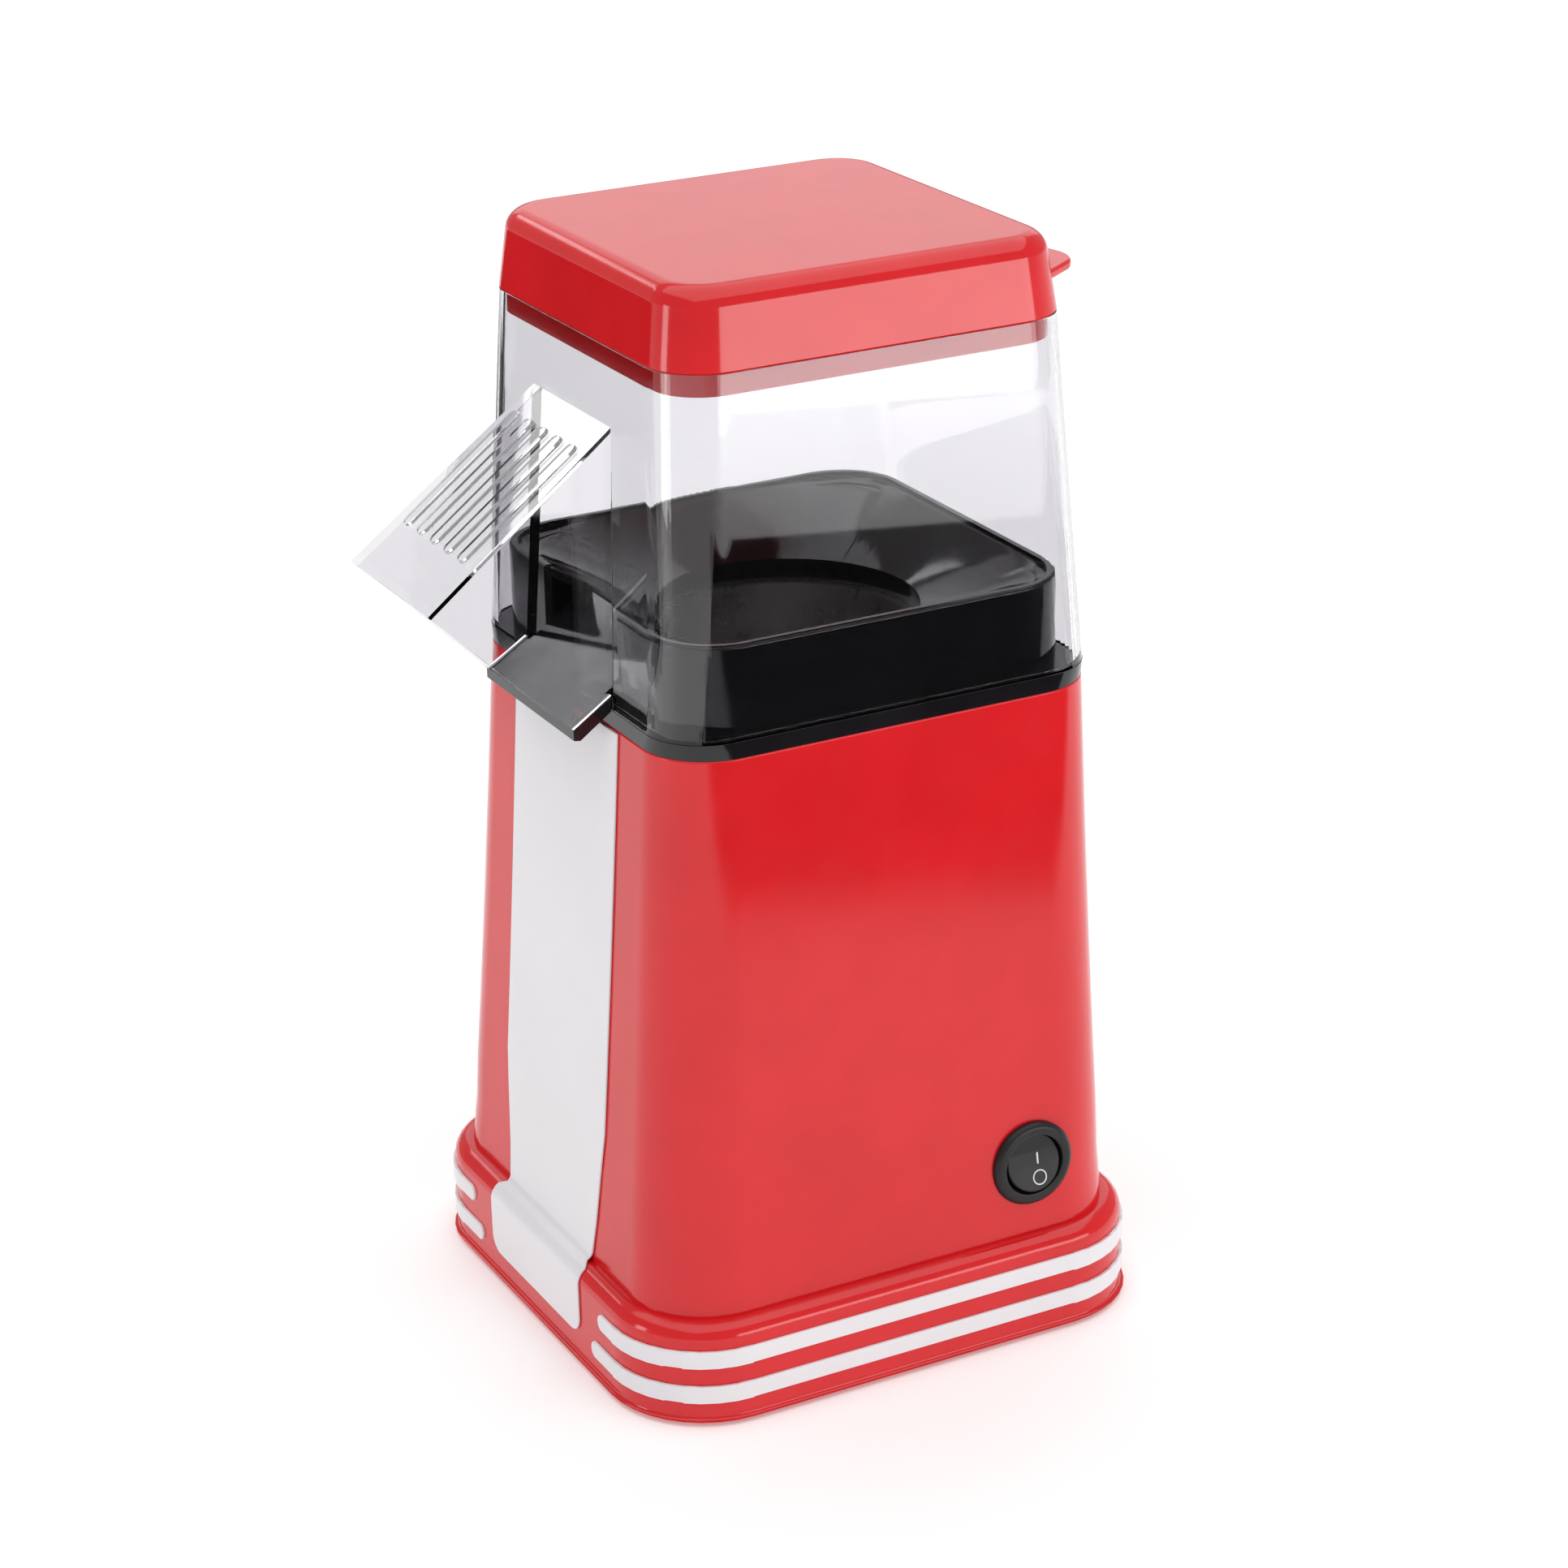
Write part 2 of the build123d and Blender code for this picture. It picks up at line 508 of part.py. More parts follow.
face_x = x0 + switch_bezel - 0.4
face = side = [(pivot_x - 2.6, -rocker_r), (face_x + 0.9, -rocker_r), (face_x - 0.5, 0), (face_x + 0.9, rocker_r), (pivot_x - 2.6, rocker_r)]
rocker = extrude(make_face(Polyline([(x, switch_y - rocker_r, switch_z + z) for x, z in face], close=True)), 2 * rocker_r, dir=(0, 1, 0))
rocker &= rod_x(rocker_r, x0 - 12, x0 + 10, switch_y, switch_z)
for s in (-1, 1):
    rocker -= rod_y(rocker_pin_r + 1.0, switch_y + s * rocker_r - 1.8, switch_y + s * rocker_r + 1.8, pivot_x, switch_z)
rocker += rod_y(rocker_pin_r, switch_y - bezel_in + 0.15, switch_y + bezel_in - 0.15, pivot_x, switch_z)
rocker = Pos(pivot_x, switch_y, switch_z) * Rot(0, -rocker_tilt, 0) * Pos(-pivot_x, -switch_y, -switch_z) * rocker
put("switch_rocker", rocker)
print("rocker pivot", round(pivot_x, 3), switch_y, switch_z)

for name, dz in (("terminal_upper", 4.0), ("terminal_lower", -4.0)):
    blade = cuboid(x0 - switch_depth - terminal_len, x0 - switch_depth - gap, switch_y - 2.4, switch_y + 2.4,
                   switch_z + dz - 0.4, switch_z + dz + 0.4)
    blade -= rod(0.9, switch_z + dz - 2, switch_z + dz + 2, x0 - switch_depth - terminal_len * 0.6, switch_y)
    put("switch_" + name, blade)

# bush where the mains lead enters --------------------------------------------
bush = rod_y(bush_r, bush_face + gap, bush_face + bush_t, 0, bush_z)
bush = fillet(bush.edges().group_by(Axis.Y)[-1], 0.8)
bush += rod_y(bush_barrel_r, bush_face - 4 - body_wall, bush_face + 0.5, 0, bush_z)
bush -= rod_y(bush_bore_r, bush_face - 10, bush_face + 10, 0, bush_z)
put("cord_bush", bush)
nut_y = bush_face - body_wall - 2 * gap
nut = rod_y(bush_r, nut_y - 2.2, nut_y, 0, bush_z) - rod_y(bush_barrel_r + gap, nut_y - 4, nut_y + 2, 0, bush_z)
put("cord_bush_nut", nut)

# popping chamber -------------------------------------------------------------
cup = rod(cup_r, z_cup, z_seat) - rod(cup_r - cup_wall, z_cup + cup_wall, z_seat + 1)
cup += rod(cup_flange_r, z_seat - cup_wall, z_seat) - rod(cup_r - cup_wall, z_seat - 3, z_seat + 1)
slot = cuboid(cup_r - 3, cup_r + 3, -louvre_w / 2, louvre_w / 2, z_cup + 3, z_cup + 3 + louvre_h)
for k in range(louvre_count):
    cup -= Rot(0, 0, 360 * k / louvre_count) * slot
put("popping_chamber", cup)

# heater duct, mica cross and heating rings -----------------------------------
duct = rod(duct_r, z_duct0 + gap, z_seat - cup_wall - gap) - rod(duct_r - duct_wall, z_duct0 - 1, z_seat + 1)
put("heater_duct", duct)
mica_z = z_duct0 + 2
wide = duct_r - duct_wall - gap
mica_a = cuboid(-wide, wide, -mica_t / 2, mica_t / 2, mica_z, mica_z + mica_h)
mica_b = cuboid(-mica_t / 2, mica_t / 2, -wide, wide, mica_z, mica_z + mica_h)
slot_w = mica_t / 2 + gap
mica_a -= cuboid(-slot_w, slot_w, -2, 2, mica_z + mica_h / 2 - gap, mica_z + mica_h + 1)
mica_b -= cuboid(-2, 2, -slot_w, slot_w, mica_z - 1, mica_z + mica_h / 2 + gap)
cyl = rod(wide, mica_z - 1, mica_z + mica_h + 1)
put("mica_plate_x", mica_a & cyl)
put("mica_plate_y", mica_b & cyl)
put("heating_ring_outer", Pos(0, 0, mica_z + mica_h + ring_r + gap) * Torus(ring_big, ring_r))
put("heating_ring_inner", Pos(0, 0, mica_z + mica_h + ring_r + gap) * Torus(ring_small, ring_r))
tz = z_duct0 + 30
stat = rod_x(8.0, -duct_r - gap - 5.0, -duct_r - gap, 0, tz) + rod_x(5.0, -duct_r - 8.0, -duct_r - 4.0, 0, tz)
put("thermostat", stat)
fuse = rod(2.0, tz - 7, tz + 7, -(duct_r + 2.0 + gap) * math.cos(math.radians(25)), (duct_r + 2.0 + gap) * math.sin(math.radians(25)))
put("thermal_fuse", fuse)

# fan housing, wheel and motor ------------------------------------------------
housing = rod(duct_r, fan_z, z_duct0) - rod(duct_r - duct_wall, fan_z + fan_floor, z_duct0 + 1) - rod(inlet_r, fan_z - 1, fan_z + fan_floor + 1)
for i, j in corners:
    housing += rod(post_r, z_deck + gap, fan_z + 12, i * post_at, j * post_at)
    web = Pos(0, 0, fan_z + 4) * Rot(0, 0, math.degrees(math.atan2(j, i))) * Pos(duct_r - 1 + 8, 0, 0) * Box(16, 3, 8)
    housing += web - rod(duct_r - duct_wall, fan_z - 2, z_duct0)
put("fan_housing", housing)

wheel_z = fan_z + fan_floor + 3
shaft_top = wheel_z + wheel_h + 1
wheel = rod(wheel_hub_r, wheel_z, wheel_z + wheel_h) + rod(wheel_r, wheel_z + wheel_h - wheel_disc, wheel_z + wheel_h)
fin = cuboid(wheel_hub_r - 1, wheel_r, -blade_t / 2, blade_t / 2, wheel_z, wheel_z + wheel_h - 0.5)
for k in range(blade_count):
    wheel += Rot(0, 0, 360 * k / blade_count) * fin
wheel -= rod(shaft_r + 0.02, wheel_z - 1, wheel_z + wheel_h + 1)
put("fan_wheel", wheel)

motor_top = fan_z - motor_nose
motor_low = motor_top - motor_len
can = rod(motor_r, motor_low, motor_top)
can = fillet(can.edges().group_by(Axis.Z)[0] + can.edges().group_by(Axis.Z)[-1], 1.2)
can += rod(motor_nose_r, motor_top - 1, motor_top + motor_nose)
can -= rod(shaft_r + running, motor_low + 4, motor_top + motor_nose + 1)
put("motor_can", can)
put("motor_shaft", rod(shaft_r, motor_low + 4.3, shaft_top))

clamp_z = motor_top - clamp_h - 2
clamp = rod(motor_r + gap + clamp_t, clamp_z, clamp_z + clamp_h)
for k in range(3):
    arm = cuboid(motor_r + 1, inlet_r + 6, -arm_w / 2, arm_w / 2, clamp_z + clamp_h - 3, clamp_z + clamp_h)
    leg = cuboid(inlet_r + 2, inlet_r + 6, -arm_w / 2, arm_w / 2, clamp_z + clamp_h - 3, fan_z - gap)
    clamp += Rot(0, 0, 120 * k + 30) * (arm + leg)
clamp -= rod(motor_r + gap, clamp_z - 1, clamp_z + clamp_h + 1)
put("motor_clamp", clamp)

board_z = motor_low - board_t - gap
put("rectifier_board", cuboid(-board_x / 2, board_x / 2, -board_y / 2, board_y / 2, board_z, board_z + board_t))
for k in range(4):
    x = (k - 1.5) * 5.4
    put("diode_%d" % (k + 1), rod_y(diode_r, -diode_len / 2, diode_len / 2, x, board_z - diode_r - gap))
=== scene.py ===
import bpy, bmesh, json, math
from mathutils import Vector, Matrix


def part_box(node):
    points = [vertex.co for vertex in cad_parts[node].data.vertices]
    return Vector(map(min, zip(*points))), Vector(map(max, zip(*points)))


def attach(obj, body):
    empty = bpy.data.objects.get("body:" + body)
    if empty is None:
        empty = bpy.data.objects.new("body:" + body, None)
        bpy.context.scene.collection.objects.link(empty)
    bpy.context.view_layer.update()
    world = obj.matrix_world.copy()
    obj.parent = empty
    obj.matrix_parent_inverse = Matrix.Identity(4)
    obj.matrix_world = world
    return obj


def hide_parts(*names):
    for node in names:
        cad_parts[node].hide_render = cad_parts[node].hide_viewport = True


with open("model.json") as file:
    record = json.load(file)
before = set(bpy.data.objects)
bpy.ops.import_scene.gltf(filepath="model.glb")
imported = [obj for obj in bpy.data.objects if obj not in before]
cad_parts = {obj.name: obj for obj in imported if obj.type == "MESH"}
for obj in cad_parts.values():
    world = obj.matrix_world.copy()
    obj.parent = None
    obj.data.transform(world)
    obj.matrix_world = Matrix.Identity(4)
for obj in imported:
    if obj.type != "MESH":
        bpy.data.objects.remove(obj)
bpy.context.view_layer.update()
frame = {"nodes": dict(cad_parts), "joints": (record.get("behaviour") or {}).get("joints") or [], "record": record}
print("stage: frame loaded,", len(frame["nodes"]), "nodes")

mm = 0.001
nodes = frame["nodes"]


def boxMm(name):
    lo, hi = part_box(name)
    return Vector(lo) / mm, Vector(hi) / mm


# camera
cameraSetup = {"azimuth": 62.77, "elevation": 21.78, "distance": 1.03457, "aim": (0.0, -0.0037, 0.145), "roll": -1.41,
               "lens": 90.74, "shiftX": 0.00796, "shiftY": -0.0143}


def makeCamera(c):
    az, el, roll = (math.radians(c[k]) for k in ("azimuth", "elevation", "roll"))
    back = Vector((math.sin(az) * math.cos(el), -math.cos(az) * math.cos(el), math.sin(el)))
    right = (-back).cross(Vector((0, 0, 1))).normalized()
    up = right.cross(-back)
    turnedRight = math.cos(roll) * right + math.sin(roll) * up
    turnedUp = -math.sin(roll) * right + math.cos(roll) * up
    data = bpy.data.cameras.new("camera")
    data.lens, data.sensor_width = c["lens"], 36
    data.shift_x, data.shift_y = c["shiftX"], c["shiftY"]
    data.clip_start, data.clip_end = 0.05, 20
    cam = bpy.data.objects.new("camera", data)
    bpy.context.scene.collection.objects.link(cam)
    m = Matrix((turnedRight, turnedUp, back)).transposed().to_4x4()
    m.translation = Vector(c["aim"]) + back * c["distance"]
    cam.matrix_world = m
    bpy.context.scene.camera = cam


makeCamera(cameraSetup)
bpy.context.scene.view_settings.view_transform = "Standard"


# materials
def newMaterial(name):
    mat = bpy.data.materials.new(name)
    mat.use_nodes = True
    tree = mat.node_tree
    shader = tree.nodes["Principled BSDF"]
    coords = tree.nodes.new("ShaderNodeTexCoord")
    return mat, tree, shader, coords.outputs["Object"]


def noiseNode(tree, coords, scale, detail=3.0, rough=0.5, stretch=None):
    source = coords
    if stretch:
        mapping = tree.nodes.new("ShaderNodeMapping")
        mapping.inputs["Scale"].default_value = stretch
        tree.links.new(coords, mapping.inputs["Vector"])
        source = mapping.outputs["Vector"]
    n = tree.nodes.new("ShaderNodeTexNoise")
    n.inputs["Scale"].default_value = scale
    n.inputs["Detail"].default_value = detail
    n.inputs["Roughness"].default_value = rough
    tree.links.new(source, n.inputs["Vector"])
    return n.outputs["Fac"]


def rampNode(tree, fac, low, high, colours):
    r = tree.nodes.new("ShaderNodeValToRGB")
    r.color_ramp.elements[0].position, r.color_ramp.elements[1].position = low, high
    for e, c in zip(r.color_ramp.elements, colours):
        e.color = (*c, 1)
    tree.links.new(fac, r.inputs["Fac"])
    return r.outputs["Color"]


def rangeNode(tree, fac, a, b, low=0.3, high=0.7):
    r = tree.nodes.new("ShaderNodeMapRange")
    r.inputs["From Min"].default_value, r.inputs["From Max"].default_value = low, high
    r.inputs["To Min"].default_value, r.inputs["To Max"].default_value = a, b
    tree.links.new(fac, r.inputs["Value"])
    return r.outputs["Result"]


def bumpNode(tree, shader, height, distance, strength=1.0, after=None):
    b = tree.nodes.new("ShaderNodeBump")
    b.inputs["Strength"].default_value = strength
    b.inputs["Distance"].default_value = distance
    tree.links.new(height, b.inputs["Height"])
    if after:
        tree.links.new(after, b.inputs["Normal"])
    tree.links.new(b.outputs["Normal"], shader.inputs["Normal"])
    return b.outputs["Normal"]


finishes = {
    # name: two close colours, roughness range, fine grain (per metre) and its depth, broad waviness depth, metallic, specular
    "redGloss": dict(a=(0.66, 0.010, 0.014), b=(0.71, 0.012, 0.017), rough=(0.10, 0.15),
                     grain=900, grainDepth=3e-6, wave=3e-5, metal=0, spec=0.5),
    "whiteGloss": dict(a=(0.80, 0.785, 0.81), b=(0.82, 0.805, 0.83), rough=(0.16, 0.22),
                       grain=900, grainDepth=3e-6, wave=2e-5, metal=0, spec=0.5),
    "blackGloss": dict(a=(0.006, 0.005, 0.007), b=(0.010, 0.009, 0.011), rough=(0.07, 0.12),
                       grain=900, grainDepth=2e-6, wave=4e-5, metal=0, spec=0.5),
    "blackSatin": dict(a=(0.013, 0.013, 0.014), b=(0.020, 0.020, 0.021), rough=(0.30, 0.42),
                       grain=2600, grainDepth=1.0e-5, wave=0, metal=0, spec=0.3),
    "rubber": dict(a=(0.018, 0.018, 0.018), b=(0.035, 0.034, 0.033), rough=(0.7, 0.85),
                   grain=1500, grainDepth=3e-5, wave=0, metal=0, spec=0.35),
    "steel": dict(a=(0.50, 0.50, 0.50), b=(0.62, 0.61, 0.60), rough=(0.24, 0.40),
                  grain=1800, grainDepth=6e-6, wave=0, metal=1, spec=0.5),
    "brass": dict(a=(0.62, 0.46, 0.20), b=(0.72, 0.55, 0.26), rough=(0.25, 0.4),
                  grain=1800, grainDepth=6e-6, wave=0, metal=1, spec=0.5),
    "spunAluminium": dict(a=(0.66, 0.67, 0.68), b=(0.78, 0.78, 0.79), rough=(0.22, 0.38),
                          grain=500, grainDepth=1.5e-5, wave=0, metal=1, spec=0.5, stretch=(1, 1, 9)),
    "mica": dict(a=(0.42, 0.34, 0.22), b=(0.66, 0.57, 0.40), rough=(0.3, 0.5),
                 grain=420, grainDepth=3e-5, wave=0, metal=0, spec=0.5),
    "heaterWire": dict(a=(0.17, 0.16, 0.155), b=(0.36, 0.32, 0.29), rough=(0.35, 0.55),
                       grain=1400, grainDepth=2e-5, wave=0, metal=1, spec=0.5),
    "ceramic": dict(a=(0.72, 0.70, 0.65), b=(0.84, 0.82, 0.78), rough=(0.3, 0.5),
                    grain=1200, grainDepth=1e-5, wave=0, metal=0, spec=0.5),
    "board": dict(a=(0.03, 0.14, 0.06), b=(0.05, 0.21, 0.09), rough=(0.3, 0.45),
                  grain=2200, grainDepth=8e-6, wave=0, metal=0, spec=0.5),
    "wheelPlastic": dict(a=(0.03, 0.03, 0.032), b=(0.05, 0.05, 0.052), rough=(0.4, 0.55),
                         grain=2000, grainDepth=1.2e-5, wave=0, metal=0, spec=0.5),
    "markInk": dict(a=(0.72, 0.72, 0.72), b=(0.84, 0.84, 0.84), rough=(0.4, 0.5),
                    grain=2600, grainDepth=6e-6, wave=0, metal=0, spec=0.5),
}


def makeFinish(name, f):
    mat, tree, shader, coords = newMaterial(name)
    broad = noiseNode(tree, coords, 38, 2.0)
    fine = noiseNode(tree, coords, f["grain"], 4.0, 0.6, f.get("stretch"))
    colour = rampNode(tree, broad, 0.35, 0.65, (f["a"], f["b"]))
    tree.links.new(colour, shader.inputs["Base Color"])
    smudge = noiseNode(tree, coords, 85, 4.0, 0.65)
    tree.links.new(rangeNode(tree, smudge, *f["rough"]), shader.inputs["Roughness"])
    shader.inputs["Metallic"].default_value = f["metal"]
    shader.inputs["Specular IOR Level"].default_value = f["spec"]
    first = bumpNode(tree, shader, fine, f["grainDepth"])
    if f["wave"]:
        bumpNode(tree, shader, noiseNode(tree, coords, 26, 1.0), f["wave"], after=first)
    return mat


materials = {name: makeFinish(name, f) for name, f in finishes.items()}

clearLook = {"a": (0.868, 0.86, 0.882), "b": (0.882, 0.874, 0.896), "ior": 1.16, "coat": 0.8, "rough": (0.012, 0.03)}


def makeClear(f):
    mat, tree, shader, coords = newMaterial("clearPlastic")
    colour = rampNode(tree, noiseNode(tree, coords, 30, 2.0), 0.35, 0.65, (f["a"], f["b"]))
    tree.links.new(colour, shader.inputs["Base Color"])
    tree.links.new(rangeNode(tree, noiseNode(tree, coords, 120, 4.0, 0.6), *f["rough"]), shader.inputs["Roughness"])
    shader.inputs["Transmission Weight"].default_value = 1
    shader.inputs["IOR"].default_value = f["ior"]
    shader.inputs["Coat Weight"].default_value = f["coat"]
    shader.inputs["Coat Roughness"].default_value = 0.015
    flow = bumpNode(tree, shader, noiseNode(tree, coords, 14, 1.0, 0.5, (1, 1, 0.4)), 1.2e-4)
    bumpNode(tree, shader, noiseNode(tree, coords, 700, 3.0), 2e-6, after=flow)
    return mat


materials["clearPlastic"] = makeClear(clearLook)
print("stage: materials made")


# mesh helpers
def roundedSquare(bm, half, corner, z, y=0.0, steps=9):
    before = set(bm.faces)
    verts = [bm.verts.new((sx * half, y + sy * half, z)) for sx, sy in ((1, 1), (-1, 1), (-1, -1), (1, -1))]
    bm.faces.new(verts)
    bmesh.ops.bevel(bm, geom=verts, offset=corner, offset_type="OFFSET", segments=steps, profile=0.5, affect="VERTICES", material=-1)
    return next(f for f in bm.faces if f not in before)


def finishPiece(bm, name, material, body, replaced=(), sharp=32, bevel=None, weighted=True):
    bmesh.ops.remove_doubles(bm, verts=bm.verts[:], dist=1e-4)
    bmesh.ops.recalc_face_normals(bm, faces=bm.faces[:])
    bmesh.ops.scale(bm, vec=(mm, mm, mm), verts=bm.verts[:])
    mesh = bpy.data.meshes.new(name)
    for f in bm.faces:
        f.smooth = True
    bm.to_mesh(mesh)
    bm.free()
    mesh.set_sharp_from_angle(angle=math.radians(sharp))
    piece = bpy.data.objects.new(name, mesh)
    bpy.context.scene.collection.objects.link(piece)
    mesh.materials.append(materials[material])
    if bevel:
        m = piece.modifiers.new("softEdges", "BEVEL")
        m.width, m.segments, m.limit_method, m.angle_limit = bevel[0] * mm, bevel[1], "ANGLE", math.radians(bevel[2])
        m.harden_normals = False
    if weighted:
        w = piece.modifiers.new("evenNormals", "WEIGHTED_NORMAL")
        w.keep_sharp = True
    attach(piece, body)
    if replaced:
        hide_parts(*replaced)
    return piece


def bridge(bm, faceA, faceB):
    bmesh.ops.bridge_loops(bm, edges=list(faceA.edges) + list(faceB.edges))


def lofted(bm, sections, closeStart=True, closeEnd=True):
    # sections: (half, corner, z, y); neighbouring outlines are bridged
    faces = [roundedSquare(bm, *s) for s in sections]
    for a, b in zip(faces, faces[1:]):
        bridge(bm, a, b)
    drop = faces[1:-1] + ([] if closeStart else [faces[0]]) + ([] if closeEnd else [faces[-1]])
    bmesh.ops.delete(bm, geom=drop, context="FACES_ONLY")
    return faces


def edgesAt(bm, test):
    return [e for e in bm.edges if test(e)]


def flatRing(z, tol=0.02):
    return lambda e: all(abs(v.co.z - z) < tol for v in e.verts)


def softenEdges(bm, edges, offset, segments):
    bmesh.ops.bevel(bm, geom=edges, offset=offset, offset_type="OFFSET", segments=segments, profile=0.5,
                    affect="EDGES", clamp_overlap=True, material=-1)


def roundCorners(bm, verts, offset, segments):
    bmesh.ops.bevel(bm, geom=verts, offset=offset, offset_type="OFFSET", segments=segments, profile=0.5,
                    affect="VERTICES", clamp_overlap=True, material=-1)


# plinth
lo, hi = boxMm("base_plinth")
plinthLook = {"corner": 26.5, "edge": 4.6, "foot": 1.2, "trough": 0.7, "troughWidth": 1.3}
baseHalf, baseY = (hi.x - lo.x) / 2, (hi.y + lo.y) / 2
baseLow = lo.z
bodyLo, bodyHi = boxMm("body_shell")
deckZ, bodyTop = bodyLo.z, bodyHi.z
bodyLow = bodyHi.x


def makePlinth(p):
    bm = bmesh.new()
    lofted(bm, [(baseHalf, p["corner"], baseLow, baseY), (baseHalf, p["corner"], deckZ, baseY)])
    softenEdges(bm, edgesAt(bm, flatRing(deckZ)), p["edge"], 9)
    softenEdges(bm, edgesAt(bm, flatRing(baseLow)), p["foot"], 3)
    top = max((f for f in bm.faces if f.normal.z > 0.9), key=lambda f: f.calc_area())
    bmesh.ops.inset_region(bm, faces=[top], thickness=0.2, use_even_offset=True)
    bmesh.ops.inset_region(bm, faces=[top], thickness=p["troughWidth"] / 2, depth=-p["trough"], use_even_offset=True)
    bmesh.ops.inset_region(bm, faces=[top], thickness=p["troughWidth"], use_even_offset=True)
    return finishPiece(bm, "plinth", "redGloss", "machine", ["base_plinth"], sharp=40)


makePlinth(plinthLook)
print("stage: plinth")

# bands
bandLook = {"corner": 27.2, "proud": 0.7, "depth": 1.2, "tips": {"stripe_upper": 39.2, "stripe_lower": 34.6}, "soft": 0.45}


def makeBand(node, b):
    lo, hi = boxMm(node)
    half, tip = hi.x, b["tips"][node]
    bm = bmesh.new()
    lofted(bm, [(half, b["corner"], lo.z, baseY), (half, b["corner"], hi.z, baseY)], False, False)
    for x in (-tip, tip):
        bmesh.ops.bisect_plane(bm, geom=bm.verts[:] + bm.edges[:] + bm.faces[:], plane_co=(x, 0, 0), plane_no=(1, 0, 0))
    gone = [f for f in bm.faces if f.calc_center_median().y < baseY - half + 1 and abs(f.calc_center_median().x) < tip - 0.01]
    bmesh.ops.delete(bm, geom=gone, context="FACES")
    bmesh.ops.recalc_face_normals(bm, faces=bm.faces[:])
    if sum((f.normal.x * f.calc_center_median().x) for f in bm.faces) < 0:
        bmesh.ops.reverse_faces(bm, faces=bm.faces[:])
    bmesh.ops.solidify(bm, geom=bm.faces[:], thickness=b["depth"])
    ends = [e for e in bm.edges if abs(e.verts[0].co.y - e.verts[1].co.y) > 0.5
            and all(abs(abs(v.co.x) - tip) < 0.02 and v.co.y < baseY - half + 3 for v in e.verts)]
    softenEdges(bm, ends, (hi.z - lo.z) / 2 - 0.05, 6)
    bm.normal_update()
    cornerLimit = 2 * half - 0.586 * b["corner"] - 0.5

    def outside(v):
        x, y = abs(v.co.x), abs(v.co.y - baseY)
        return max(x, y) > half - 0.3 or x + y > cornerLimit

    rim = [e for e in bm.edges if len(e.link_faces) == 2 and e.calc_face_angle() > math.radians(60)
           and all(outside(v) for v in e.verts)]
    softenEdges(bm, rim, b["soft"], 3)
    return finishPiece(bm, node.replace("stripe", "band"), "whiteGloss", "machine", [node], sharp=40)


for node in ("stripe_upper", "stripe_lower"):
    makeBand(node, bandLook)
print("stage: bands")

# body
bodyLook = {"lowCorner": 22, "topHalf": 61.2, "topCorner": 18, "wall": 2.2, "hollow": 0.35, "rim": 0.45,
            "pinch": 0.24, "pinchAt": 0.09, "levels": (0, 0.035, 0.09, 0.18, 0.32, 0.5, 0.72, 1.0)}


def bodySection(u, inset=0.0):
    b = bodyLook
    pinch = b["pinch"] * max(0, 1 - abs(u - b["pinchAt"]) / b["pinchAt"])
    half = bodyLow + (b["topHalf"] - bodyLow) * u - b["hollow"] * 4 * u * (1 - u) - pinch
    corner = b["lowCorner"] + (b["topCorner"] - b["lowCorner"]) * u
    return (half - inset, max(corner - inset, 4), deckZ + (bodyTop - deckZ) * u, baseY * (1 - u))


def cutHoles(piece, tools):
    for t in tools:
        m = piece.modifiers.new("cut", "BOOLEAN")
        m.operation, m.solver, m.object = "DIFFERENCE", "EXACT", t
    dg = bpy.context.evaluated_depsgraph_get()
    mesh = bpy.data.meshes.new_from_object(piece.evaluated_get(dg))
    piece.modifiers.clear()
    old = piece.data
    piece.data = mesh
    bpy.data.meshes.remove(old)
    for t in tools:
        bpy.data.objects.remove(t)
    for poly in mesh.polygons:
        poly.use_smooth = True
    return piece


def cutterRod(centre, axis, radius, length, turns=64):
    bm = bmesh.new()
    bmesh.ops.create_cone(bm, cap_ends=True, segments=turns, radius1=radius * mm, radius2=radius * mm, depth=length * mm)
    rotation = Vector((0, 0, 1)).rotation_difference(Vector(axis)).to_matrix().to_4x4()
    bmesh.ops.transform(bm, matrix=Matrix.Translation(Vector(centre) * mm) @ rotation, verts=bm.verts[:])
    mesh = bpy.data.meshes.new("cutter")
    bm.to_mesh(mesh)
    bm.free()
    ob = bpy.data.objects.new("cutter", mesh)
    bpy.context.scene.collection.objects.link(ob)
    return ob


housingLo, housingHi = boxMm("switch_housing")
bushLo, bushHi = boxMm("cord_bush")
switchY, switchZ = (housingLo.y + housingHi.y) / 2, (housingLo.z + housingHi.z) / 2
switchR = (housingHi.y - housingLo.y) / 2
bushZ = (bushLo.z + bushHi.z) / 2


def makeBody(b):
    bm = bmesh.new()
    sections = [bodySection(u) for u in b["levels"]] + [bodySection(u, b["wall"]) for u in reversed(b["levels"])]
    faces = [roundedSquare(bm, *s) for s in sections]
    for p, q in zip(faces, faces[1:] + faces[:1]):
        bridge(bm, p, q)
    bmesh.ops.delete(bm, geom=faces, context="FACES_ONLY")
    softenEdges(bm, edgesAt(bm, flatRing(bodyTop)), b["rim"], 3)
    piece = finishPiece(bm, "bodyShell", "redGloss", "machine", ["body_shell"], sharp=40, weighted=False)
    switchHole = cutterRod((housingHi.x - 3, switchY, switchZ), (1, 0, 0), switchR - 1.6, 16)
    bushHole = cutterRod((0, bushHi.y - 3, bushZ), (0, 1, 0), 5.6, 16)
    cutHoles(piece, [switchHole, bushHole])
    piece.data.set_sharp_from_angle(angle=math.radians(40))
    w = piece.modifiers.new("evenNormals", "WEIGHTED_NORMAL")
    w.keep_sharp = True
    return piece


makeBody(bodyLook)
print("stage: body")

